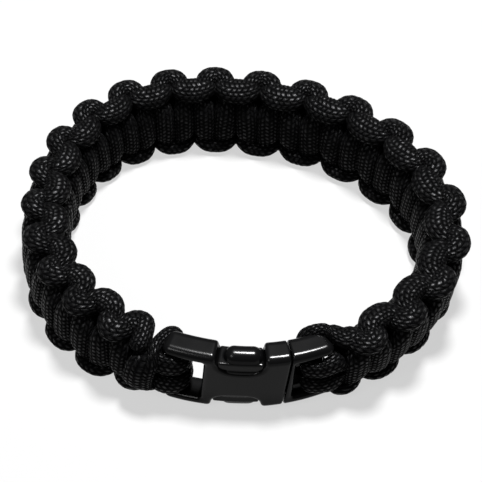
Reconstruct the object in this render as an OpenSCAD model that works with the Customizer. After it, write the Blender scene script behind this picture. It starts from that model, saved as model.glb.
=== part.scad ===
// Knotted cord bracelet with a side release buckle, lying on its edge with the buckle at the front.
// All sizes are in millimetres. A place on the band is written as [along, across, through]:
// along the loop from the middle of the buckle, up from mid height, and outwards from the middle line.

/* [Loop] */
// Mean radius of the loop, from its centre to the middle of the band
loop_radius = 35.5; // [33:0.5:40]
// Stretch of the loop from side to side
oval = 2.2; // [0:0.1:3]
// Lean of that stretch towards the left rear
oval_lean = -1.0; // [-1.5:0.1:1.5]

/* [Band] */
// Height of the band, across its knots, without the roundness of the heads
band_height = 16; // [15.8:0.1:16.6]
// Thickness of the band, from its outer face to its inner face
band_thickness = 9.4; // [9.3:0.1:10]
// Number of half knots from one end of the band to the other
half_knots = 42; // [38:2:42]
// First knot's place, from the middle of the buckle
first_knot = 19; // [18.9:0.1:20.5]
// Last knot's place, from the middle of the buckle on the other side
last_knot = 19.5; // [19.4:0.1:20.5]
// Outward lean of the band beyond the plug, as a share of its height
band_lean = 0.16; // [0:0.01:0.16]

/* [Cord] */
// Radius of the cord where nothing squeezes it
cord_radius = 1.7; // [1.5:0.05:1.75]
// Gap left between cords that touch
cord_gap = 0.05; // [0.02:0.01:0.1]

/* [Buckle] */
// Width of the buckle, across the band
buckle_width = 15.2; // [14.5:0.1:15.4]
// Thickness of the buckle
buckle_thickness = 5.4; // [5:0.1:6]
// Distance from the middle of the buckle to each strap bar
bar_reach = 14; // [13.5:0.1:14.5]
// Diameter of the strap bars
bar_diameter = 2.4; // [2:0.1:2.4]
// Lean of the seam between the two halves, in degrees
seam_lean = 6; // [0:1:8]

/* [Hidden] */

// How the loop departs from a circle: [waves round the loop, share along x, share along y], in mm
loop_waves = [[2, oval, oval_lean], [3, 0.6, 0.1], [4, 0, 0.25], [5, 0.2, -0.2]];
loop_steps = 360;
function reach(a, i = 0) = i == len(loop_waves) ? loop_radius
    : loop_waves[i][1] * cos(loop_waves[i][0] * a) + loop_waves[i][2] * sin(loop_waves[i][0] * a) + reach(a, i + 1);
function plan(a) = reach(a) * [cos(a), sin(a)];
function step_angle(i) = i * 360 / loop_steps - 90;
function step_length(i) = norm(plan(step_angle(i + 1)) - plan(step_angle(i)));
// Length walked along the loop, anticlockwise from the front, against the angle reached
walk = [for (i = 0, s = 0; i <= loop_steps; s = s + step_length(i), i = i + 1) [s, step_angle(i)]];
loop_length = walk[loop_steps][0];
function angle_at(s) = lookup(s - loop_length * floor(s / loop_length), walk);
function heading(a) = let (d = plan(a + 0.5) - plan(a - 0.5)) d / norm(d);
function outward(a) = [heading(a)[1], -heading(a)[0]];

// Half a knot of one cord, from the middle of its bar to the head where it turns back, as
// [along in knots, across as a share of half the height, through as a share of half the thickness,
//  half width as a share of a knot, half depth as a share of the cord's radius]
knot_rows = [
    [0, 0, 0.66, 0.48, 0.85],
    [-0.09, 0.42, 0.56, 0.40, 0.73],
    [-0.28, 0.70, 0, 0.21, 0.81],
    [-0.22, 0.87, -0.41, 0.28, 0.91],
    [0.09, 0.87, -0.64, 0.35, 0.94],
    [0.50, 0.86, -0.62, 0.41, 0.97]];
knot_ends = len(knot_rows) - 1;
knot_pitch = (loop_length - first_knot - last_knot) / half_knots;
// The knots are pulled apart on the right and pushed together on the left, in knots:
// [half waves along the band, share]
knot_drift = [[1, 0.82], [2, -0.12], [3, -0.25]];
function knot_at(n, i = 0) = i == len(knot_drift) ? first_knot + n * knot_pitch
    : knot_drift[i][1] * knot_pitch * sin(180 * knot_drift[i][0] * n / half_knots) + knot_at(n, i + 1);
function knot_room(k) = knot_at(k + 1) - knot_at(k);

half_height = band_height / 2;
half_thickness = band_thickness / 2;
head = knot_rows[knot_ends - 1];
head_out = head[4] * cord_radius - head[2] * half_thickness;
// The band leans outwards beyond the plug, fully between two places along the loop
lean_from = 15;
lean_full = [23, 40];
lean_until = 70;
function ease(x) = let (u = min(max(x, 0), 1)) u * u * (3 - 2 * u);
function lean(s) = band_lean * ease((s - lean_from) / (lean_full[0] - lean_from))
    * ease((lean_until - s) / (lean_until - lean_full[1]));
function above_foot(s, across) = lean(s - loop_length * floor(s / loop_length)) * (across + half_height);
// The loop is moved so that its outer face is centred on the origin and the lowest heads are at zero
function is_knotted(s) = s > first_knot && s < loop_length - last_knot;
function outer_face(i) = is_knotted(walk[i][0]) ? head_out + above_foot(walk[i][0], head[1] * half_height)
    : buckle_thickness / 2;
outer_ring = [for (i = [0:loop_steps]) plan(step_angle(i)) + outer_face(i) * outward(step_angle(i))];
ring_x = [for (q = outer_ring) q[0]];
ring_y = [for (q = outer_ring) q[1]];
loop_shift = -[max(ring_x) + min(ring_x), max(ring_y) + min(ring_y)] / 2;
mid_height = head[1] * half_height + 0.88 * cord_radius;
function place(q) = let (
        a = angle_at(q[0]),
        xy = plan(a) + loop_shift + outward(a) * (q[2] + above_foot(q[0], q[1])))
    [xy[0], xy[1], mid_height + q[1]];

// One station of a cord as [along, across, through, half width, half depth], all in mm
function knot_station(k, j, side) = let (
        row = knot_rows[abs(j)],
        forth = sign(j),
        flip = k % 2 == 0 ? -1 : 1)
    [knot_at(k + 0.5 + forth * row[0]), side * flip * forth * row[1] * half_height,
     side * row[2] * half_thickness, row[3] * knot_room(k), row[4] * cord_radius];
function knot_stations(side) = [for (k = [0:half_knots - 1], j = [-knot_ends:knot_ends - 1]) knot_station(k, j, side)];

// A tube through the stations, squeezed as they say, with a pointed cap of the given height at each end
function unit(v) = v / norm(v);
function middle(q) = [q[0], q[1], q[2]];
function along_at(st, i) = unit(middle(st[min(i + 1, len(st) - 1)]) - middle(st[max(i - 1, 0)]));
// The squeeze is towards the middle of the band, or towards a strap bar where the cord turns over it
function by_bar(q) = let (off = q[0] < loop_length / 2 ? q[0] - bar_reach : q[0] - loop_length + bar_reach)
    abs(off) < bar_wrap + cord_gap ? [off, 0, q[2]] : [0, q[1], q[2]];
function depth_axis(q, dir) = let (r = by_bar(q)) unit(r - (r * dir) * dir);
function tube_ring(st, i, cord_sides) = let (
        q = st[i],
        dir = along_at(st, i),
        deep = depth_axis(q, dir),
        wide = cross(deep, dir))
    [for (n = [0:cord_sides - 1]) let (turn = n * 360 / cord_sides)
        place(middle(q) + wide * (q[3] - cord_gap) * cos(turn) + deep * (q[4] - cord_gap) * sin(turn))];
module tube(st, cap = 0.25, cord_sides = 8) {
    last = len(st) - 1;
    rings = [for (i = [0:last]) each tube_ring(st, i, cord_sides)];
    tips = [place(middle(st[0]) - cap * along_at(st, 0)), place(middle(st[last]) + cap * along_at(st, last))];
    first_tip = len(rings);
    sides = [for (i = [0:last - 1], n = [0:cord_sides - 1]) let (
            a = i * cord_sides + n,
            b = i * cord_sides + (n + 1) % cord_sides)
        each [[a, a + cord_sides, b + cord_sides], [a, b + cord_sides, b]]];
    start = [for (n = [0:cord_sides - 1]) [first_tip, n, (n + 1) % cord_sides]];
    end = [for (n = [0:cord_sides - 1])
        [first_tip + 1, last * cord_sides + (n + 1) % cord_sides, last * cord_sides + n]];
    polyhedron(concat(rings, tips), concat(sides, start, end));
}

// The cord is squeezed a little where it bends round a strap bar, at this distance from the bar's middle
wrap_wide = 1.15 * cord_radius;
wrap_deep = 0.73 * cord_radius;
bar_wrap = bar_diameter / 2 + 1.3 * wrap_deep;

// The standing cord: two cores side by side inside the knots, and a lark's head on the socket's bar.
// Each row is a station of its upper half: [along, across, through, half width, half depth]
core_apart = 1.4;
core_wide = 1.3;
core_deep = 1.45;
strand_apart = 2.35;
loop_back = 16.75;
corner = 0.71 * bar_wrap;
// Over the plug's bar, from the slot to the first knot
plug_turn = [
    [bar_reach - bar_wrap, strand_apart, 0.6, wrap_wide, wrap_deep],
    [bar_reach - corner, strand_apart, corner, wrap_wide, wrap_deep],
    [bar_reach, strand_apart, bar_wrap, wrap_wide, wrap_deep],
    [bar_reach + 2.2, 2.1, 1.75, 1.7, wrap_deep],
    [bar_reach + 4.2, 1.5, 0.3, core_wide, core_deep]];
// Over the socket's bar, through its slot, back inside and round to the crossing
socket_turn = [
    [-last_knot + 0.8, 1.5, 0, core_wide, core_deep],
    [-bar_reach - 2.3, 2.0, 1.75, 1.7, wrap_deep],
    [-bar_reach, strand_apart, bar_wrap, wrap_wide, wrap_deep],
    [-bar_reach + corner, strand_apart, corner, wrap_wide, wrap_deep],
    [-bar_reach + bar_wrap, strand_apart, 0, wrap_wide, wrap_deep],
    [-bar_reach + corner, strand_apart, -corner, wrap_wide, wrap_deep],
    [-bar_reach - 0.2, 2.7, -bar_wrap - 0.1, 1.6, wrap_deep],
    [-bar_reach - 1.9, 3.7, -4.4, 1.4, 1.35],
    [-loop_back - 0.9, 5.1, -2.5, 1.25, 1.3],
    [-loop_back - 0.2, 5.9, 1.2, 1.3, 1.3],
    [-loop_back + 0.3, 3.7, 4.1, 1.3, 1.25]];
core_steps = 30;
knotted_length = loop_length - first_knot - last_knot;
core_lane = [for (i = [0:core_steps]) [
    first_knot + knot_pitch / 2 + i * (knotted_length - knot_pitch) / core_steps,
    core_apart, 0, core_wide, core_deep]];
function unroll(q) = q[0] < 0 ? [q[0] + loop_length, q[1], q[2], q[3], q[4]] : q;
function lower(q) = [q[0], -q[1], q[2], q[3], q[4]];
upper_half = [for (q = concat(plug_turn, core_lane, socket_turn)) unroll(q)];
lower_half = [for (i = [len(upper_half) - 1:-1:0]) lower(upper_half[i])];

// The knotting cords come out of the plug's slot on the inner side and end, cut short, at the last knot
outer_start = [
    [bar_reach - bar_wrap, strand_apart, -0.6, wrap_wide, wrap_deep],
    [bar_reach - 2.4, 3.0, -2.7, 1.5, 1.35],
    [bar_reach - 1.2, 4.7, -4.4, 1.5, 1.45],
    [bar_reach + 0.8, 5.9, -4.6, 1.5, 1.5],
    [bar_reach + 3.1, 6.6, -4.2, 1.6, 1.55]];
inner_start = [
    [bar_reach - bar_wrap, -strand_apart, -0.6, wrap_wide, wrap_deep],
    [bar_reach - 2.4, -3.0, -2.6, 1.5, 1.35],
    [bar_reach - 0.6, -3.9, -4.3, 1.4, 1.35],
    [bar_reach + 3.0, -4.8, -4.4, 1.3, 1.35],
    [bar_reach + 4.0, -6.2, -1.9, 1.2, 1.35],
    [bar_reach + 3.9, -6.8, 0.8, 1.2, 1.4],
    [bar_reach + 4.1, -6.9, 2.6, 1.4, 1.5]];
// How far a knotting cord runs on past its last head
end_rest = 0.3;
function knot_end(side) = [for (rest = [0, end_rest]) let (row = knot_rows[knot_ends]) [
    loop_length - last_knot + rest, side * (row[1] * half_height - 0.2 * rest), side * row[2] * half_thickness,
    row[3] * knot_room(half_knots - 1) * (1 - 0.2 * rest), row[4] * cord_radius * (1 - 0.2 * rest)]];

// The buckle is bent round an upright axis, through the two strap bars and the middle of the buckle
function flat(q) = [q[0], q[1]];
bar_left = flat(place([-bar_reach, 0, 0]));
buckle_middle = flat(place([0, 0, 0]));
bar_right = flat(place([bar_reach, 0, 0]));
function square_of(v) = v * v;
function bend_centre(a, b, c) = let (u = b - a, v = c - a, d = 2 * (u[0] * v[1] - u[1] * v[0]))
    a + [v[1] * square_of(u) - u[1] * square_of(v), u[0] * square_of(v) - v[0] * square_of(u)] / d;
bend_axis = bend_centre(bar_left, buckle_middle, bar_right);
bend_radius = norm(buckle_middle - bend_axis);
bend_start = atan2(buckle_middle[1] - bend_axis[1], buckle_middle[0] - bend_axis[0]);
function bend_turn(s) = s / bend_radius * 180 / PI;

half_width = buckle_width / 2;
half_deep = buckle_thickness / 2;
// Inner edges of the frame that the cord passes through, and its outer end
frame_half = half_width - 2.2;
frame_end = 15.3;
frame_corner = 3.5;
edge_round = 2.2;
// Where the socket's body begins, where the seam is, and where the plug's slot begins
body_start = -7.9;
seam = 6.8;
seam_gap = 0.35;
slot_start = 8.8;
// The thumb windows in the socket's two edges
window_at = -1.6;
window_radius = 4.2;
window_drop = 3.4;
window_lift = half_width - window_drop + window_radius;
// The hollow that takes the plug's prongs
hollow_half = half_width - 2.3;
hollow_deep = 1.4;
hollow_start = -6;
prong_deep = 1.2;
prong_gap = 0.2;
prong_width = 2;
guide_width = 2.4;
pad_deep = 1.9;
pad_top = half_width - 1.2;
pad_round = 1.2;
bend_facets = 180;

module rounded(high, deep, r) {
    square([2 * deep, 2 * (high - r)], center = true);
    square([2 * (deep - r), 2 * high], center = true);
    for (x = [-1, 1], y = [-1, 1])
        translate([x * (deep - r), y * (high - r)]) circle(r, $fn = 48);
}
// Bends an outline, drawn as [through, across], from one place along the buckle to another
module bent(from, to) {
    translate([bend_axis[0], bend_axis[1], mid_height])
        rotate([0, 0, bend_start + bend_turn(from)])
            rotate_extrude(angle = bend_turn(to - from), $fn = bend_facets)
                translate([bend_radius, 0]) children();
}
// Takes an outline, drawn as [along, across], right through the buckle
module through() {
    translate([buckle_middle[0], buckle_middle[1], mid_height])
        rotate([90, 0, bend_start + 90])
            linear_extrude(40, center = true) children();
}
// A block of the given half height whose end at one place leans, and that runs on far past the buckle
module leaning_block(at, half, lean, dir) {
    shift = half * tan(lean);
    polygon([[at - shift, -half], [dir * 30, -half], [dir * 30, half], [at + shift, half]]);
}
module strap_bar(s) {
    translate([bend_axis[0], bend_axis[1], mid_height])
        rotate([0, 0, bend_start + bend_turn(s)])
            translate([bend_radius, 0, 0])
                cylinder(d = bar_diameter, h = 2 * frame_half + 1, center = true, $fn = 48);
}
// Outline of one half with two round corners at its outer end; dir is -1 to the left and 1 to the right
module face_outline(dir) {
    straight = frame_end - frame_corner;
    corner_at = half_width - frame_corner;
    mirror([dir < 0 ? 1 : 0, 0]) {
        translate([-straight, -half_width - 1]) square([2 * straight, 2 * half_width + 2]);
        translate([0, -corner_at]) square([frame_end, 2 * corner_at]);
        for (y = [-1, 1])
            translate([straight, y * corner_at]) circle(frame_corner, $fn = 96);
    }
}
module thumb_windows(r) {
    for (y = [-1, 1])
        translate([window_at + y * window_lift * tan(seam_lean), y * window_lift]) circle(r, $fn = 96);
}

module buckle_socket() {
    color([0.10, 0.10, 0.105]) union() {
        difference() {
            intersection() {
                bent(-frame_end - 1, seam + 2) rounded(half_width, half_deep, edge_round);
                through() face_outline(-1);
            }
            // Slot for the cord
            through() leaning_block(body_start, frame_half, seam_lean / 2, -1);
            // End face at the seam
            through() leaning_block(seam, buckle_width, seam_lean, 1);
            through() thumb_windows(window_radius);
            // Hollow for the prongs
            bent(hollow_start, seam + 4) square([2 * hollow_deep, 2 * hollow_half], center = true);
        }
        strap_bar(-bar_reach);
    }
}

module buckle_plug() {
    color([0.10, 0.10, 0.105]) union() {
        difference() {
            intersection() {
                bent(seam - 2, frame_end + 1) rounded(half_width, half_deep, edge_round);
                through() face_outline(1);
            }
            // End face at the seam
            through() leaning_block(seam + seam_gap, buckle_width, seam_lean, -1);
            // Slot for the cord
            through() leaning_block(slot_start, frame_half, seam_lean, 1);
        }
        strap_bar(bar_reach);
        // Middle guide and two prongs
        bent(hollow_start + 1.5, slot_start - 1) square([2 * prong_deep, guide_width], center = true);
        for (y = [-1, 1])
            bent(window_at - 1.5, slot_start - 1)
                translate([0, y * (hollow_half - prong_gap - prong_width / 2)])
                    square([2 * prong_deep, prong_width], center = true);
        // Thumb pads
        intersection() {
            bent(window_at - 6, window_at + 6) rounded(pad_top, pad_deep, pad_round);
            through() thumb_windows(window_radius - prong_gap);
        }
    }
}

module core_cord() {
    color([0.07, 0.07, 0.075]) tube(concat(upper_half, lower_half), cord_sides = 6);
}
module outer_knot_cord() {
    color([0.07, 0.07, 0.075]) tube(concat(outer_start, knot_stations(1), knot_end(1)));
}
module inner_knot_cord() {
    color([0.08, 0.08, 0.085]) tube(concat(inner_start, knot_stations(-1), knot_end(-1)));
}

buckle_socket();
buckle_plug();
core_cord();
outer_knot_cord();
inner_knot_cord();
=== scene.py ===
# Knotted black cord bracelet with a bent side release buckle, lying on its edge on a pale floor
import bpy, math
import numpy as np
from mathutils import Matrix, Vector


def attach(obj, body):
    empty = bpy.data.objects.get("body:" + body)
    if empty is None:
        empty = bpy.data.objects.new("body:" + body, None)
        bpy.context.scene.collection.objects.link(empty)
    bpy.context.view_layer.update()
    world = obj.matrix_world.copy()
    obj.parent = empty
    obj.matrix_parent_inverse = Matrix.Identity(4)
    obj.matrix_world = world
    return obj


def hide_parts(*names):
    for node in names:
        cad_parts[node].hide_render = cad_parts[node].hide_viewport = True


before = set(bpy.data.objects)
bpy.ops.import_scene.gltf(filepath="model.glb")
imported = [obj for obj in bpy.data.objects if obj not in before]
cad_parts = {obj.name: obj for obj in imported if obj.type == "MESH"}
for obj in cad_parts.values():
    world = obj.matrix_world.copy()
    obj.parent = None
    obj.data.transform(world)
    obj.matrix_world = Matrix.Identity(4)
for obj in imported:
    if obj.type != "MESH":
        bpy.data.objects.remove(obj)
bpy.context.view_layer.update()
mm = 0.001

# The loop. A place on the band is (along, across, through) in mm, as in the part's source:
# along from the buckle's middle, up from mid height, outwards from the middle line
loopShape = {
    "radius": 35.5,              # mean radius of the band's middle line
    "waves": ((2, 2.2, -1.0), (3, 0.6, 0.1), (4, 0.0, 0.25), (5, 0.2, -0.2)),  # waves, share along x and y
    "steps": 360,
    "bandHeight": 16.0,
    "bandThickness": 8.4,
    "halfKnots": 42,
    "firstKnot": 19.0,           # from the buckle's middle
    "lastKnot": 19.5,
    "knotDrift": ((1, 0.82), (2, -0.12), (3, -0.25)),  # half waves along the band, share of a knot
    "cordRadius": 1.7,
    # the band is uneven: (along, outward lean of its top, outward shift in mm, share of its thickness)
    "leans": (
        (13, 0, 0, 1), (16, 0.02, 0.2, 1), (20, 0.10, 0.8, 1.05), (24, 0.14, 1.1, 1.1),
        (30, 0.16, 1.2, 1.14), (45, 0.16, 1.0, 1.12), (60, 0.14, 0.4, 1), (80, 0.12, -0.1, 1),
        (112, 0.12, 0, 1), (140, 0.10, 0.3, 1.04), (158, 0.02, 0.5, 1.15), (170, -0.05, 0.5, 1.2),
        (185, -0.12, 0.2, 1.12), (197, -0.10, 0, 1.1), (207, -0.02, 0, 1.08), (212, 0, 0, 1)),
    "shift": (-1.4395, -0.7909),  # centres the footprint on the origin
    "headAcross": 0.87,           # the lowest heads, as a share of half the height
    "headDeep": 0.88,             # and how far below that they reach, in cord radii
}


def reach(turn):
    out = np.full_like(turn, loopShape["radius"])
    for waves, alongX, alongY in loopShape["waves"]:
        out = out + alongX * np.cos(waves * turn) + alongY * np.sin(waves * turn)
    return out


def plan(turn):
    return reach(turn)[..., None] * np.stack([np.cos(turn), np.sin(turn)], -1)


def outward(turn):
    small = math.radians(0.5)
    ahead = plan(turn + small) - plan(turn - small)
    ahead /= np.linalg.norm(ahead, axis=-1, keepdims=True)
    return np.stack([ahead[..., 1], -ahead[..., 0]], -1)


walkTurn = np.radians(np.arange(loopShape["steps"] + 1) * 360 / loopShape["steps"] - 90)
walkPlace = plan(walkTurn)
walkLength = np.concatenate([[0], np.cumsum(np.linalg.norm(np.diff(walkPlace, axis=0), axis=1))])
loopLength = walkLength[-1]
halfHeight = loopShape["bandHeight"] / 2
halfThickness = loopShape["bandThickness"] / 2
cordRadius = loopShape["cordRadius"]
knotPitch = (loopLength - loopShape["firstKnot"] - loopShape["lastKnot"]) / loopShape["halfKnots"]


def ease(x):
    u = np.clip(x, 0, 1)
    return u * u * (3 - 2 * u)


def leaning(along, across, through):
    places, leans, shifts, swells = np.array(loopShape["leans"]).T
    along = np.mod(along, loopLength)
    return (through * np.interp(along, places, swells) + np.interp(along, places, leans) * across
            + np.interp(along, places, shifts))


loopShift = np.array(loopShape["shift"])
midHeight = loopShape["headAcross"] * halfHeight + loopShape["headDeep"] * cordRadius


# Places on an upright band to x, y, z in mm
def onLoop(along, across, through):
    turn = np.interp(np.mod(along, loopLength), walkLength, walkTurn)
    flat = plan(turn) + loopShift + outward(turn) * through[..., None]
    return np.concatenate([flat, across[..., None] + midHeight], -1)


# The same on the leaning band that the cords follow
def onBand(q):
    return onLoop(q[..., 0], q[..., 1], leaning(q[..., 0], q[..., 1], q[..., 2]))


print("loop", round(loopLength, 2), "mm round, knots", round(knotPitch, 3), "mm apart")

# The cords' routes: each station is (along, across, through, half width, half depth)
knotRows = {                     # from the middle of a bar to the head where the cord turns back
    "broad": (                         # along in knots, across and through as shares of the half sizes,
        (0, 0, 0.64, 0.53, 0.80),      # half width in knots, half depth in cord radii
        (-0.03, 0.40, 0.56, 0.50, 0.82),
        (-0.25, 0.70, 0.14, 0.37, 0.90),
        (-0.11, 0.80, -0.16, 0.46, 1.00),
        (0.15, 0.84, -0.32, 0.54, 1.08),
        (0.50, 0.845, -0.36, 0.56, 1.10)),
    "arched": (
        (0, 0, 0.64, 0.53, 0.80),
        (-0.03, 0.40, 0.56, 0.50, 0.82),
        (-0.14, 0.68, 0.14, 0.34, 0.90),
        (0.04, 0.79, -0.22, 0.42, 1.0),
        (0.25, 0.84, -0.43, 0.49, 1.08),
        (0.50, 0.835, -0.50, 0.51, 1.10)),
}
route = {
    "plugBar": 14.8,             # the strap bars' places along the loop
    "socketBar": 12.8,
    "barDiameter": 2.4,
    "wrapWide": 1.18 * cordRadius,
    "wrapDeep": 0.75 * cordRadius,
    "coreApart": 1.4,
    "coreWide": 1.3,
    "coreDeep": 1.45,
    "strandApart": 2.35,
    "loopBack": 16.6,
    "crossLean": 1.0,            # how far the crossing's lower half stands back from its upper half
    # past its last head a knotting cord turns outwards and is cut: along, up, out, half size
    "cutEnd": ((1.2, 6.7, 0.4, 1.9), (1.5, 6.1, 2.1, 2.0), (1.6, 5.6, 3.4, 2.05)),
    "narrowEnd": 0.10,           # how much lower the band is at its two ends
    "narrowRun": 9.0,
    "narrowFrom": 3.0,           # from this far off the band's middle
    "coreSteps": 30,
    "bendRoom": 1.3,             # a cord's middle lies this many of its half depths off a bar
    "bendCorner": 0.71,          # an eighth of a turn round a bar
    "squeezeEase": (0.2, 1.2),   # how the squeeze towards a bar fades along the band: start and run
    "crossStations": 4,
}
wrapReach = route["barDiameter"] / 2 + route["bendRoom"] * route["wrapDeep"]
lastRow = len(knotRows["broad"]) - 1


def knotAt(n):
    away = n * knotPitch
    for waves, share in loopShape["knotDrift"]:
        away += share * knotPitch * math.sin(math.pi * waves * n / loopShape["halfKnots"])
    return loopShape["firstKnot"] + away


def knotStations(side):
    rows = []
    for k in range(loopShape["halfKnots"]):
        flip = -1 if k % 2 == 0 else 1
        room = knotAt(k + 1) - knotAt(k)
        for j in range(-lastRow, lastRow):
            forth = (j > 0) - (j < 0)
            isArched = side < 0 and side * flip * forth > 0
            along, across, through, wide, deep = knotRows["arched" if isArched else "broad"][abs(j)]
            rows.append((knotAt(k + 0.5 + forth * along), side * flip * forth * across * halfHeight,
                         side * through * halfThickness, wide * room, deep * cordRadius))
    return rows


def knotEnd(side):
    along, across, through, wide, deep = knotRows["broad"][lastRow]
    room = knotAt(loopShape["halfKnots"]) - knotAt(loopShape["halfKnots"] - 1)
    last = loopLength - loopShape["lastKnot"]
    head = (last, side * across * halfHeight, side * through * halfThickness, wide * room, deep * cordRadius)
    return [head] + [(last + on, side * up, side * out, half, half) for on, up, out, half in route["cutEnd"]]


# The band gets lower towards its two ends
def narrowed(stations):
    q = np.array(stations, float)
    along = np.mod(q[:, 0], loopLength)
    fromEnd = np.minimum(along - loopShape["firstKnot"], loopLength - loopShape["lastKnot"] - along)
    atEnd = 1 - ease(fromEnd / route["narrowRun"])
    q[:, 1] *= 1 - route["narrowEnd"] * atEnd * ease(np.abs(q[:, 1]) / route["narrowFrom"] - 1)
    return q


def cordRoutes():
    first, last = loopShape["firstKnot"], loopShape["lastKnot"]
    bar, end, back = route["plugBar"], -route["socketBar"], route["loopBack"]
    apart, wide, deep = route["strandApart"], route["wrapWide"], route["wrapDeep"]
    coreWide, coreDeep = route["coreWide"], route["coreDeep"]
    wrap, corner = wrapReach, route["bendCorner"] * wrapReach
    plugTurn = [
        (bar - wrap, apart, 0.6, wide, deep), (bar - corner, apart, corner, wide, deep),
        (bar, apart, wrap, wide, deep), (bar + 2.4, 2.6, 2.3, 2.4, 1.45),
        (bar + 5.0, 1.6, 0.3, coreWide, coreDeep)]
    socketTurn = [
        (-last + 0.8, 1.5, 0, coreWide, coreDeep), (-back, 1.9, 1.0, 1.8, 1.35),
        (end - 2.3, 2.75, 2.3, 2.55, 1.35), (end, 2.85, wrap, 2.6, deep),
        (end + corner, 2.6, corner, 2.3, deep), (end + wrap, apart, 0, wide, deep),
        (end + corner, apart, -corner, wide, deep), (end - 0.2, 2.9, -wrap - 0.1, 1.7, 1.35),
        (end - 0.4, 3.9, -3.4, 1.6, 1.5), (end - 1.2, 4.7, -2.5, 1.8, 1.6),
        (end - 1.9, 4.8, -0.6, 2.2, 1.6), (end - 2.7, 4.5, 1.9, 2.6, 1.45), (-back, 2.9, 4.0, 2.7, 1.3)]
    inKnots = loopLength - first - last - knotPitch
    steps = route["coreSteps"]
    coreLane = [(first + knotPitch / 2 + i * inKnots / steps, route["coreApart"], 0, coreWide, coreDeep)
                for i in range(steps + 1)]
    upper = [(q[0] + (loopLength if q[0] < 0 else 0), *q[1:]) for q in plugTurn + coreLane + socketTurn]
    lower = [(q[0] - (route["crossLean"] if i < route["crossStations"] else 0), -q[1], *q[2:])
             for i, q in enumerate(reversed(upper))]
    outerStart = [
        (bar - wrap, apart, -0.6, wide, deep), (bar - 2.0, 3.2, -2.7, 1.6, 1.4),
        (bar - 0.9, 4.8, -3.4, 1.6, 1.6), (bar + 1.2, 6.0, -3.0, 1.8, 1.6),
        (bar + 3.6, 6.6, -2.0, 2.1, 1.6), (bar + 5.3, 6.2, -0.6, 2.2, 1.6)]
    innerStart = [
        (bar - wrap, -apart, -0.6, wide, deep), (bar - 2.4, -3.0, -2.6, 1.5, 1.35),
        (bar - 0.6, -3.9, -4.0, 1.5, 1.4), (bar + 2.2, -4.8, -4.0, 1.5, 1.45),
        (bar + 3.4, -6.2, -1.9, 1.5, 1.5), (bar + 3.5, -6.8, 0.4, 1.6, 1.5)]
    outer = outerStart + list(narrowed(knotStations(1)[2:] + knotEnd(1)))  # comes in past its first two rows
    inner = innerStart + list(narrowed(knotStations(-1) + knotEnd(-1)))
    return np.array(upper + lower), np.array(outer), np.array(inner)


cordDetail = {
    "sides": 48,                 # points round the cord
    "columns": 16,               # columns of picks round the cord
    "pick": 0.90,                # length of one pick, mm
    "ringsPerPick": 3,
    "relief": 0.13,              # how proud a pick stands, mm
    "reliefMiddle": 0.6,         # the relief that lies on the cord's own outline
    "slant": 0.35,               # how many picks a float climbs across its column
    "sideFall": 0.85,            # how far a pick falls towards its sides
    "drift": ((1.2, 23.0, 1.0), (0.7, 9.1, 2.0)),  # the columns wander: columns, run in mm, phases
    "squareness": 2.25,          # 2 is round, more is squarer
    "clearance": 0.03,           # mm inside the routed outline
    "capRings": 5,
    "capStart": 0.15,            # of a ring's step from the tip to the first ring
    "fineSteps": 24,             # along the curve between two stations
    "leastGap": 1e-3,
    "leastLength": 1e-6,
}


# Towards the middle of the band, or towards a strap bar where the cord turns over it
def squeezeAxis(path, ahead):
    along = np.mod(path[:, 0], loopLength)
    off = np.where(along < loopLength / 2, along - route["plugBar"], along - loopLength + route["socketBar"])
    start, run = route["squeezeEase"]
    near = (1 - ease((np.abs(off) - wrapReach + start) / run))[:, None]
    axes = []
    for radial in (path[:, :3] * (0, 1, 1), np.stack([off, 0 * off, path[:, 2]], 1)):
        radial = radial - (radial * ahead).sum(1, keepdims=True) * ahead
        length = np.linalg.norm(radial, axis=1, keepdims=True)
        axes.append(radial / np.maximum(length, cordDetail["leastLength"]))
    sameWay = np.where((axes[0] * axes[1]).sum(1, keepdims=True) < 0, -1, 1)
    deep = axes[0] * (1 - near) * sameWay + axes[1] * near
    deep /= np.linalg.norm(deep, axis=1, keepdims=True)
    turned = np.concatenate([[1], np.where((deep[1:] * deep[:-1]).sum(1) < 0, -1, 1)])
    return deep * np.cumprod(turned)[:, None]


# A smooth curve through the stations, walked in even steps
def smoothRoute(stations, step):
    apart = np.linalg.norm(np.diff(stations[:, :3], axis=0), axis=1)
    gap = np.sqrt(np.maximum(apart, cordDetail["leastGap"]))
    t = np.concatenate([[0], np.cumsum(gap)])
    slope = np.diff(stations, axis=0) / gap[:, None]
    tangent = np.vstack([slope[:1], (slope[:-1] * gap[1:, None] + slope[1:] * gap[:-1, None])
                         / (gap[:-1] + gap[1:])[:, None], slope[-1:]])
    share = np.linspace(0, 1, cordDetail["fineSteps"])
    fine = np.unique(np.concatenate([start + length * share for start, length in zip(t, gap)]))
    i = np.clip(np.searchsorted(t, fine, side="right") - 1, 0, len(gap) - 1)
    g = gap[i][:, None]
    u = ((fine - t[i]) / gap[i])[:, None]
    path = ((2 * u**3 - 3 * u**2 + 1) * stations[i] + (u**3 - 2 * u**2 + u) * g * tangent[i]
            + (-2 * u**3 + 3 * u**2) * stations[i + 1] + (u**3 - u**2) * g * tangent[i + 1])
    solid = onBand(path[:, :3])
    run = np.concatenate([[0], np.cumsum(np.linalg.norm(np.diff(solid, axis=0), axis=1))])
    count = max(int(round(run[-1] / step)), 8)
    even = np.linspace(0, run[-1], count + 1)
    return np.stack([np.interp(even, run, path[:, c]) for c in range(5)], 1), even


# How proud the sheath stands, 0 in a gap to 1 on a pick, like the weave group in the material
def sheathRelief(column, pick):
    odd = np.mod(np.floor(column), 2)
    side = column - np.floor(column) - 0.5
    along = pick + 0.5 * odd + cordDetail["slant"] * side * (1 - 2 * odd)
    along = along - np.floor(along) - 0.5
    ridge = (1 - np.abs(2 * along)**2) * (1 - cordDetail["sideFall"] * np.abs(2 * side)**2)
    return np.sqrt(np.maximum(ridge, 0))


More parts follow.
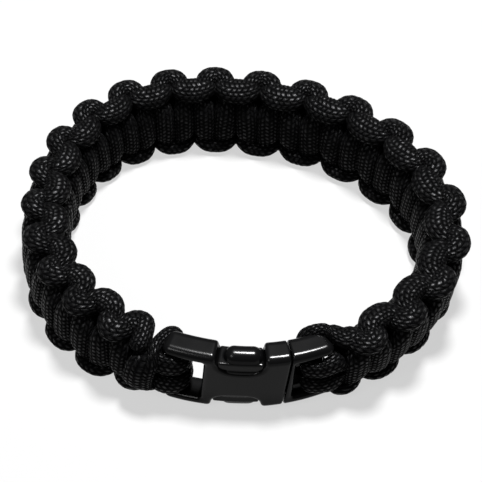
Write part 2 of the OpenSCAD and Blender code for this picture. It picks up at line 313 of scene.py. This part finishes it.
# A piece from its corner places in metres, its faces' corners and sizes, and a sheath's lay
def newPiece(name, places, corners, sizes, material, lay=None):
    mesh = bpy.data.meshes.new(name)
    mesh.vertices.add(len(places))
    mesh.vertices.foreach_set("co", places.astype(np.float32).ravel())
    mesh.loops.add(len(corners))
    mesh.loops.foreach_set("vertex_index", corners.astype(np.int32))
    mesh.polygons.add(len(sizes))
    starts = np.concatenate([[0], np.cumsum(sizes)[:-1]])
    mesh.polygons.foreach_set("loop_start", starts.astype(np.int32))
    mesh.polygons.foreach_set("use_smooth", np.ones(len(sizes), bool))
    if lay is not None:
        mesh.uv_layers.new(name="sheathLay").data.foreach_set("uv", lay.astype(np.float32).ravel())
    mesh.update(calc_edges=True)
    mesh.validate()
    mesh.materials.append(material)
    piece = bpy.data.objects.new(name, mesh)
    bpy.context.scene.collection.objects.link(piece)
    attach(piece, "root")
    print(name, len(mesh.polygons), "faces")
    return piece


# A braided cord along the stations, as one closed mesh with its lay in a UV map
def tubeMesh(name, stations, material, cut=(0.0, 1.0), caps=(True, True), phase=0.0):
    sides = cordDetail["sides"]
    path, run = smoothRoute(stations, cordDetail["pick"] / cordDetail["ringsPerPick"])
    first, last = int(cut[0] * (len(path) - 1)), int(cut[1] * (len(path) - 1))
    ahead = np.gradient(path[:, :3], axis=0)
    ahead /= np.linalg.norm(ahead, axis=1, keepdims=True)
    deep = squeezeAxis(path, ahead)
    wide = np.cross(deep, ahead)
    path, run, deep, wide = (a[first:last + 1] for a in (path, run, deep, wide))
    turn = np.arange(sides) * 2 * math.pi / sides
    power = 2 / cordDetail["squareness"]
    cosine = np.sign(np.cos(turn)) * np.abs(np.cos(turn))**power
    sine = np.sign(np.sin(turn)) * np.abs(np.sin(turn))**power
    column = np.arange(sides) / sides * cordDetail["columns"] + phase
    drift = sum(much * np.sin(run / length + phases * phase) for much, length, phases in cordDetail["drift"])
    lay = run / cordDetail["pick"]
    relief = sheathRelief(column[None, :] + drift[:, None], lay[:, None])
    shrink = np.ones(len(run))
    n = cordDetail["capRings"]
    rise = np.sqrt(1 - (1 - (np.arange(n) + cordDetail["capStart"]) / n)**2)
    if caps[0]:
        shrink[:n] *= rise
    if caps[1]:
        shrink[-n:] *= rise[::-1]
    proud = cordDetail["relief"] * (relief - cordDetail["reliefMiddle"])
    halfWide = (path[:, 3] - cordDetail["clearance"])[:, None] + proud
    halfDeep = (path[:, 4] - cordDetail["clearance"])[:, None] + proud
    ring = (path[:, None, :3] + wide[:, None, :] * (halfWide * cosine * shrink[:, None])[:, :, None]
            + deep[:, None, :] * (halfDeep * sine * shrink[:, None])[:, :, None])
    places = onBand(np.concatenate([ring.reshape(-1, 3), path[[0, -1], :3]])) * mm
    rings = len(run)
    i, k = np.meshgrid(np.arange(rings - 1), np.arange(sides), indexing="ij")
    a, b = i * sides + k, i * sides + (k + 1) % sides
    quads = np.stack([a, b, b + sides, a + sides], -1)
    around = np.arange(sides)
    onward = (around + 1) % sides
    lastRing = (rings - 1) * sides
    startFan = np.stack([np.full(sides, rings * sides), onward, around], -1)
    endFan = np.stack([np.full(sides, rings * sides + 1), lastRing + around, lastRing + onward], -1)
    corners = np.concatenate([quads.ravel(), startFan.ravel(), endFan.ravel()])
    sizes = np.concatenate([np.full(quads.shape[0] * quads.shape[1], 4), np.full(2 * sides, 3)])
    ringOf = np.stack([i, i, i + 1, i + 1], -1)
    layU = np.stack([k, k + 1, k + 1, k], -1) * cordDetail["columns"] / sides + phase + drift[ringOf]
    fanU = np.zeros((2, sides, 3))
    fanV = fanU + lay[[0, -1]][:, None, None]
    across = np.concatenate([layU.ravel(), fanU.ravel()])
    along = np.concatenate([lay[ringOf].ravel(), fanV.ravel()])
    return newPiece(name, places, corners, sizes, material, np.stack([across, along], 1))


# Node helpers and the effects that materials share
def addNode(tree, kind, links=None, **values):
    node = tree.nodes.new(kind)
    for key, value in values.items():
        setattr(node, key, value)
    for socket, source in (links or {}).items():
        if isinstance(source, bpy.types.NodeSocket):
            tree.links.new(source, node.inputs[socket])
        else:
            node.inputs[socket].default_value = source
    return node


def sums(tree, operation, *values, clamp=False):
    links = {i: v for i, v in enumerate(values)}
    return addNode(tree, "ShaderNodeMath", links, operation=operation, use_clamp=clamp).outputs[0]


def blended(tree, share, first, second):
    return addNode(tree, "ShaderNodeMix", {0: share, 6: first, 7: second}, data_type="RGBA").outputs[2]


def ranged(tree, value, low, high):
    return addNode(tree, "ShaderNodeMapRange", {"Value": value, "To Min": low, "To Max": high}).outputs[0]


def newGroup(name, inputs, outputs):
    group = bpy.data.node_groups.new(name, "ShaderNodeTree")
    for title, kind, default in inputs:
        socket = group.interface.new_socket(name=title, in_out="INPUT", socket_type=kind)
        if default is not None:
            socket.default_value = default
    for title, kind in outputs:
        group.interface.new_socket(name=title, in_out="OUTPUT", socket_type=kind)
    return group, group.nodes.new("NodeGroupInput").outputs, group.nodes.new("NodeGroupOutput").inputs


sheathPattern = {
    "filaments": 5.0,            # fine strands along a pick
    "filamentHeight": 0.05,      # as a share of the pick's
    "gapShadeEdge": 1.6,              # how soon a pick closes the painted shade in the gap
}


# Columns of leaning picks from the sheath's lay, with a mask for the painted shade in the gaps between picks
def makeSheathWeave():
    group, given, out = newGroup("sheathWeave", (
        ("Lay", "NodeSocketVector", None), ("Slant", "NodeSocketFloat", cordDetail["slant"]),
        ("Filaments", "NodeSocketFloat", sheathPattern["filaments"])),
        (("Height", "NodeSocketFloat"), ("Gap", "NodeSocketFloat"), ("PickTone", "NodeSocketFloat")))
    lay = addNode(group, "ShaderNodeSeparateXYZ", {0: given["Lay"]}).outputs
    columnNumber = sums(group, "FLOOR", lay["X"])
    side = sums(group, "SUBTRACT", sums(group, "FRACT", lay["X"]), 0.5)
    odd = sums(group, "PINGPONG", columnNumber, 1.0)
    lean = sums(group, "MULTIPLY", sums(group, "MULTIPLY_ADD", odd, -2.0, 1.0), given["Slant"])
    staggered = sums(group, "MULTIPLY_ADD", odd, 0.5, lay["Y"])
    along = sums(group, "ADD", staggered, sums(group, "MULTIPLY", side, lean))
    pickNumber = sums(group, "FLOOR", along)
    inPick = sums(group, "SUBTRACT", sums(group, "FRACT", along), 0.5)
    fall = sums(group, "POWER", sums(group, "ABSOLUTE", sums(group, "MULTIPLY", inPick, 2.0)), 2.0)
    fallAcross = sums(group, "POWER", sums(group, "ABSOLUTE", sums(group, "MULTIPLY", side, 2.0)), 2.0)
    ridge = sums(group, "MULTIPLY", sums(group, "SUBTRACT", 1.0, fall),
                 sums(group, "MULTIPLY_ADD", fallAcross, -cordDetail["sideFall"], 1.0))
    height = sums(group, "SQRT", sums(group, "MAXIMUM", ridge, 0.0))
    turns = sums(group, "MULTIPLY", inPick, given["Filaments"])
    strands = sums(group, "SINE", sums(group, "MULTIPLY", turns, math.tau))
    closed = sums(group, "MULTIPLY", height, sheathPattern["gapShadeEdge"], clamp=True)
    ribbed = sums(group, "MULTIPLY_ADD", strands, sheathPattern["filamentHeight"], height)
    group.links.new(ribbed, out["Height"])
    group.links.new(sums(group, "SUBTRACT", 1.0, closed, clamp=True), out["Gap"])
    pickKey = addNode(group, "ShaderNodeCombineXYZ", {0: columnNumber, 1: pickNumber}).outputs[0]
    tone = addNode(group, "ShaderNodeTexWhiteNoise", {"Vector": pickKey}, noise_dimensions="2D")
    group.links.new(tone.outputs["Value"], out["PickTone"])
    return group


# Fine spark eroded grain of moulded plastic, and broad unevenness
def makeMouldedGrain():
    group, given, out = newGroup("mouldedGrain", (
        ("Place", "NodeSocketVector", None), ("Scale", "NodeSocketFloat", 6000.0),
        ("CloudScale", "NodeSocketFloat", 180.0)),
        (("Height", "NodeSocketFloat"), ("Cloud", "NodeSocketFloat")))
    for scale, detail, title in ((given["Scale"], 3.0, "Height"), (given["CloudScale"], 2.0, "Cloud")):
        links = {"Vector": given["Place"], "Scale": scale, "Detail": detail}
        noise = addNode(group, "ShaderNodeTexNoise", links)
        group.links.new(noise.outputs["Fac"], out[title])
    return group


sheathWeave = makeSheathWeave()
mouldedGrain = makeMouldedGrain()
print("weave and grain groups made")

cordFinish = {
    "colour": (0.0006, 0.0006, 0.00065, 1),
    "paleColour": (0.0014, 0.0014, 0.0015, 1),
    # painted shade: a darker colour in the gaps between the picks
    "gapShadeColour": (0.0002, 0.0002, 0.0002, 1),
    "roughness": (0.34, 0.44),
    "bump": 0.25 * mm,
    "specular": 0.008,             # between the picks
    "gloss": (0.018, 0.018, 0.0185, 1),    # what the crown of a pick reflects
    "glossEdge": 4.0,              # how soon a crown changes from dull to glossy
    "crown": (0.77, 0.99),         # relief where the gloss begins and where it is full
    "sparkle": (0.15, 0.85, 2.0),  # gloss of every pick, what the bright ones add, and how few they are
}


def cordMaterial(name):
    material = bpy.data.materials.new(name)
    material.use_nodes = True
    tree = material.node_tree
    shader = tree.nodes["Principled BSDF"]
    lay = addNode(tree, "ShaderNodeUVMap", uv_map="sheathLay").outputs[0]
    weave = addNode(tree, "ShaderNodeGroup", {"Lay": lay, "Slant": cordDetail["slant"],
                                              "Filaments": sheathPattern["filaments"]}, node_tree=sheathWeave)
    height, gap, pickTone = (weave.outputs[title] for title in ("Height", "Gap", "PickTone"))
    tone = blended(tree, pickTone, cordFinish["colour"], cordFinish["paleColour"])
    # the gaps between picks are painted darker as shade
    colour = blended(tree, gap, tone, cordFinish["gapShadeColour"])
    bump = addNode(tree, "ShaderNodeBump", {"Height": height, "Strength": 1.0,
                                            "Distance": cordFinish["bump"]}).outputs[0]
    start, full = cordFinish["crown"]
    crown = addNode(tree, "ShaderNodeMapRange", {"Value": height, "From Min": start, "From Max": full},
                    interpolation_type="SMOOTHSTEP").outputs[0]
    least, more, keenness = cordFinish["sparkle"]
    sparkle = sums(tree, "MULTIPLY_ADD", sums(tree, "POWER", pickTone, keenness), more, least)
    keen = sums(tree, "MULTIPLY", crown, sparkle)
    glossy = sums(tree, "MULTIPLY", keen, cordFinish["glossEdge"], clamp=True)
    tree.links.new(blended(tree, keen, colour, cordFinish["gloss"]), shader.inputs["Base Color"])
    tree.links.new(ranged(tree, pickTone, *cordFinish["roughness"]), shader.inputs["Roughness"])
    tree.links.new(bump, shader.inputs["Normal"])
    tree.links.new(glossy, shader.inputs["Metallic"])
    shader.inputs["Specular IOR Level"].default_value = cordFinish["specular"]
    return material


plasticFinish = {
    "colour": (0.0007, 0.0007, 0.00075, 1),
    "worn": (0.0012, 0.0012, 0.00125, 1),
    "roughness": (0.17, 0.25),
    "specular": 0.08,
    "grain": 0.006 * mm,
    "grainScale": 6000.0,
    "cloudScale": 180.0,
}


def plasticMaterial(name):
    material = bpy.data.materials.new(name)
    material.use_nodes = True
    tree = material.node_tree
    shader = tree.nodes["Principled BSDF"]
    place = addNode(tree, "ShaderNodeTexCoord").outputs["Object"]
    scales = {"Scale": plasticFinish["grainScale"], "CloudScale": plasticFinish["cloudScale"]}
    grain = addNode(tree, "ShaderNodeGroup", {"Place": place, **scales}, node_tree=mouldedGrain)
    cloud = grain.outputs["Cloud"]
    bump = addNode(tree, "ShaderNodeBump", {"Height": grain.outputs["Height"], "Strength": 1.0,
                                            "Distance": plasticFinish["grain"]}).outputs[0]
    colour = blended(tree, cloud, plasticFinish["colour"], plasticFinish["worn"])
    tree.links.new(colour, shader.inputs["Base Color"])
    tree.links.new(ranged(tree, cloud, *plasticFinish["roughness"]), shader.inputs["Roughness"])
    tree.links.new(bump, shader.inputs["Normal"])
    shader.inputs["Specular IOR Level"].default_value = plasticFinish["specular"]
    return material


blackCord = cordMaterial("blackCord")
blackPlastic = plasticMaterial("blackPlastic")
print("materials", blackCord.name, blackPlastic.name)

coreStations, outerStations, innerStations = cordRoutes()
for strand, stations, node, phase in (("outer", outerStations, "outer_knot_cord", 0.0),
                                      ("inner", innerStations, "inner_knot_cord", 0.6)):
    for n, cut in enumerate(((0.0, 0.5), (0.5, 1.0))):
        piece = tubeMesh(f"{strand}_knots_{n + 1}", stations, blackCord, cut, (n == 0, n == 1), phase)
        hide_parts(node)
core = tubeMesh("core_strands", coreStations, blackCord, phase=0.3)
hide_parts("core_cord")

# The buckle's halves as distance fields in the band's own place, in mm, rounded where they meet
buckle = {
    "socketEnd": -13.9,
    "plugEnd": 17.6,
    "hiddenEnds": (14, -8),                # where each half's outline ends inside the other one
    "top": 7.4, "topFall": 0.013,          # upper edge and how it falls along the buckle
    "bottom": -8.0, "bottomRise": 0.048, "bottomFlat": 4,
    "halfDeep": 2.7,
    "corner": 1.5,
    "rail": 2.15,
    "seam": 8.6, "seamLean": 0.12, "seamGap": 0.3, "seamRound": 0.35,
    "socketSlot": -6.4, "plugSlot": 10.0,  # the slots' inner ends
    "slotEnds": (-20, 30),                 # their outer ends, past the buckle
    "slotLean": 0.6,                       # as a share of the seam's
    "slotCorner": 0.5, "slotRound": 1.1,
    "barInset": 1, "barRound": 0.4,
    "window": (0.5, 4.5, 3.9),             # its middle along, half length and depth
    "windowBack": 0.9,                     # how far back the lower one is
    "windowSquareness": 2.8,               # 2 is round, more is squarer
    "lip": 0.7,
    "hollow": (-5.0, 20, 4.6, 1.7),        # start, end past the seam, half height and depth
    "hollowCorner": 0.5,
    "pad": (1.0, 3.65),                    # thumb pads: middle along and half length
    "padRoll": 2.0, "padEase": 0.1, "padProud": 0.2, "padRound": 0.25,
    "padFoot": (2.6, 1.3, 2.45, 0.9),      # below the edge, half height, half depth and corner
    "padInset": 0.3,                       # how much shorter the foot is
    "shelf": (4.12, 1.0, 2.2),             # half sizes of the step that a pad stands on
    "prong": (6, 3.6, 6, 0.9, 1.3),        # middle along, below the edge, half sizes
    "guide": (3, 7, 1.1, 1.2),             # middle along, half sizes
    "smallCorner": 0.3,
    "cell": 0.149,                         # of the net that the mesh is drawn on
    "netEnds": (10.2, -5.2),               # where each half's net ends inside the other one
    "netTop": 8.0, "netDeep": 3.1, "netMargin": 0.4,
}
throughAll = 20


def blendMax(a, b, blend):
    h = np.clip(0.5 + 0.5 * (a - b) / blend, 0, 1)
    return b + (a - b) * h + blend * h * (1 - h)


def blendMin(a, b, blend):
    return -blendMax(-a, -b, blend)


def roundBox(offsets, halves, corner):
    q = [np.abs(offset) - half + corner for offset, half in zip(offsets, halves)]
    outer = np.sqrt(sum(np.maximum(v, 0)**2 for v in q))
    return outer + np.minimum(np.maximum(np.maximum(q[0], q[1]), q[2]), 0) - corner


def buckleEdges(along):
    fromEnd = along - buckle["socketEnd"]
    top = buckle["top"] - buckle["topFall"] * fromEnd
    bottom = buckle["bottom"] + buckle["bottomRise"] * np.maximum(fromEnd - buckle["bottomFlat"], 0)
    return top, bottom


# A flat frame with its slot and its round strap bar
def strapFrame(along, across, through, start, end, slotStart, slotEnd, bar):
    top, bottom = buckleEdges(along)
    middle, half = (top + bottom) / 2, (top - bottom) / 2
    up = across - middle
    shape = roundBox((along - (start + end) / 2, up, through), ((end - start) / 2, half, buckle["halfDeep"]),
                     buckle["corner"])
    lean = buckle["seamLean"] * buckle["slotLean"] * across
    slot = roundBox((along - lean - (slotStart + slotEnd) / 2, up, through),
                    ((slotEnd - slotStart) / 2, half - buckle["rail"], throughAll), buckle["slotCorner"])
    shape = blendMax(shape, -slot, buckle["slotRound"])
    rod = np.hypot(along - bar, through) - route["barDiameter"] / 2
    return blendMin(shape, np.maximum(rod, np.abs(up) - half + buckle["barInset"]), buckle["barRound"])


def socketField(along, across, through):
    top, bottom = buckleEdges(along)
    shape = strapFrame(along, across, through, buckle["socketEnd"], buckle["hiddenEnds"][0],
                       buckle["slotEnds"][0], buckle["socketSlot"], -route["socketBar"])
    middle, half, drop = buckle["window"]
    power = buckle["windowSquareness"]
    for edge, back in ((top, 0), (bottom, buckle["windowBack"])):
        sideways = np.abs((along - middle + back) / half)**power
        window = (sideways + np.abs((across - edge) / drop)**power)**(1 / power)
        shape = blendMax(shape, (1 - window) * drop, buckle["lip"])
    start, end, high, deep = buckle["hollow"]
    hollow = roundBox((along - end, across - (top + bottom) / 2, through), (end - start, high, deep),
                      buckle["hollowCorner"])
    shape = np.maximum(shape, -hollow)
    return blendMax(shape, along - buckle["seam"] - buckle["seamLean"] * across, buckle["seamRound"])


def plugField(along, across, through):
    top, bottom = buckleEdges(along)
    shape = strapFrame(along, across, through, buckle["hiddenEnds"][1], buckle["plugEnd"],
                       buckle["plugSlot"], buckle["slotEnds"][1], route["plugBar"])
    face = buckle["seam"] + buckle["seamGap"] + buckle["seamLean"] * across
    shape = blendMax(shape, face - along, buckle["seamRound"])
    middle, half = buckle["pad"]
    roll, small = buckle["padRoll"], buckle["smallCorner"]
    footDrop, footHigh, footDeep, footCorner = buckle["padFoot"]
    prongMiddle, prongDrop, *prongHalves = buckle["prong"]
    for edge, out, back in ((top, 1, 0), (bottom, -1, buckle["windowBack"])):
        crest = edge - out * (roll - buckle["padProud"])
        place = along - middle + back
        pad = roundBox((place, across - crest, through), (half, roll, roll), roll - buckle["padEase"])
        foot = roundBox((place, across - crest + out * footDrop, through),
                        (half - buckle["padInset"], footHigh, footDeep), footCorner)
        prong = roundBox((along - prongMiddle, across - edge + out * prongDrop, through), prongHalves, small)
        shelf = roundBox((along - buckle["window"][0] + back, across - edge + out * footDrop, through),
                         buckle["shelf"], small)
        pad = blendMin(pad, np.minimum(foot, shelf), buckle["padRound"])
        shape = np.minimum(shape, np.minimum(pad, prong))
    guideMiddle, *guideHalves = buckle["guide"]
    guide = roundBox((along - guideMiddle, across - (top + bottom) / 2, through), guideHalves, small)
    return np.minimum(shape, guide)


# A closed mesh where the field is zero, one vertex in each cell that it crosses
def netMesh(name, field, low, high, material):
    cell = buckle["cell"]
    axes = [np.arange(a, b + cell, cell) for a, b in zip(low, high)]
    value = field(*np.meshgrid(*axes, indexing="ij"))
    inside = value < 0
    shape = value.shape
    total = np.zeros(shape + (3,))
    count = np.zeros(shape)
    crossings = []
    for d in range(3):
        first = np.moveaxis(inside, d, 0)
        where = np.argwhere(first[:-1] != first[1:])
        order = [d] + [e for e in range(3) if e != d]
        start = np.empty_like(where)
        start[:, order] = where
        end = start.copy()
        end[:, d] += 1
        a, b = value[tuple(start.T)], value[tuple(end.T)]
        point = start.astype(float)
        point[:, d] += a / (a - b)
        e, f = order[1:]
        around = []
        for de, df in ((0, 0), (-1, 0), (-1, -1), (0, -1)):
            near = start.copy()
            near[:, e] += de
            near[:, f] += df
            np.add.at(total, tuple(near.T), point)
            np.add.at(count, tuple(near.T), 1)
            around.append(near)
        crossings.append((np.stack(around, 1), a < 0, d == 1))
    used = count > 0
    number = np.cumsum(used).reshape(shape) - 1
    spot = total[used] / count[used][:, None] * cell + np.array(low)
    quads = []
    for around, isInside, isMiddle in crossings:
        ring = number[tuple(np.moveaxis(around, 2, 0))]
        quads.append(np.where((isInside == isMiddle)[:, None], ring[:, ::-1], ring))
    quads = np.concatenate(quads)
    places = onLoop(spot[:, 0], spot[:, 1], spot[:, 2]) * mm
    return newPiece(name, places, quads.ravel(), np.full(len(quads), 4), material)


margin = buckle["netMargin"]
netLow, netHigh = (buckle["bottom"] - margin, -buckle["netDeep"]), (buckle["netTop"], buckle["netDeep"])
for node, field, start, end in (("buckle_socket", socketField, buckle["socketEnd"], buckle["netEnds"][0]),
                                ("buckle_plug", plugField, buckle["netEnds"][1], buckle["plugEnd"])):
    low, high = (start - margin, *netLow), (end + margin, *netHigh)
    piece = netMesh(node + "_moulding", field, low, high, blackPlastic)
    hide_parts(node)

# The floor, the light and the camera
studio = {
    "floorHalf": 1.2,
    "floorColour": (0.04, 0.04, 0.04, 1),
    "floorRoughness": 0.9,
    "floorGlow": 0.6,
    "worldStrength": 0.14,
    "keyPower": 28.0, "keySize": 0.13, "keyPlace": (0.06, 0.10, 0.62),
    "fillPower": 2.0, "fillSize": 0.2, "fillPlace": (-0.30, -0.30, 0.50),
}


def floorMesh():
    half = studio["floorHalf"]
    mesh = bpy.data.meshes.new("floor")
    corners = [(-half, -half, 0), (half, -half, 0), (half, half, 0), (-half, half, 0)]
    mesh.from_pydata(corners, [], [(0, 1, 2, 3)])
    floor = bpy.data.objects.new("floor", mesh)
    bpy.context.scene.collection.objects.link(floor)
    paper = bpy.data.materials.new("palePaper")
    paper.use_nodes = True
    shader = paper.node_tree.nodes["Principled BSDF"]
    shader.inputs["Base Color"].default_value = studio["floorColour"]
    shader.inputs["Roughness"].default_value = studio["floorRoughness"]
    shader.inputs["Emission Color"].default_value = (1, 1, 1, 1)
    shader.inputs["Emission Strength"].default_value = studio["floorGlow"]
    mesh.materials.append(paper)


def addLight(name, place, size, power):
    light = bpy.data.lights.new(name, "AREA")
    light.shape = "DISK"
    light.size = size
    light.energy = power
    lamp = bpy.data.objects.new(name, light)
    lamp.location = place
    lamp.rotation_euler = (-Vector(place)).to_track_quat("-Z", "Y").to_euler()
    bpy.context.scene.collection.objects.link(lamp)


floorMesh()
addLight("keyLight", studio["keyPlace"], studio["keySize"], studio["keyPower"])
addLight("fillLight", studio["fillPlace"], studio["fillSize"], studio["fillPower"])
world = bpy.data.worlds.new("studio")
world.use_nodes = True
world.node_tree.nodes["Background"].inputs["Color"].default_value = (1, 1, 1, 1)
world.node_tree.nodes["Background"].inputs["Strength"].default_value = studio["worldStrength"]
bpy.context.scene.world = world
bpy.context.scene.view_settings.view_transform = "Standard"
print("floor and lights set")

view = {
    "elevation": 50.0,
    "distance": 0.480,
    "lens": 183.9,
    "sensorWidth": 36,
    "clipStart": 0.01,
    "shiftX": 0.0056,
    "shiftY": -0.0102,
}
camera = bpy.data.objects.new("camera", bpy.data.cameras.new("camera"))
bpy.context.scene.collection.objects.link(camera)
camera.data.lens = view["lens"]
camera.data.sensor_width = view["sensorWidth"]
camera.data.shift_x = view["shiftX"]
camera.data.shift_y = view["shiftY"]
camera.data.clip_start = view["clipStart"]
aim = Vector((loopShift[0] * mm, loopShift[1] * mm, midHeight * mm))
up = math.radians(view["elevation"])
camera.location = aim + view["distance"] * Vector((0, -math.cos(up), math.sin(up)))
camera.rotation_euler = (math.pi / 2 - up, 0, 0)
bpy.context.scene.camera = camera
print("camera", view["elevation"], "degrees up,", view["distance"], "m away")
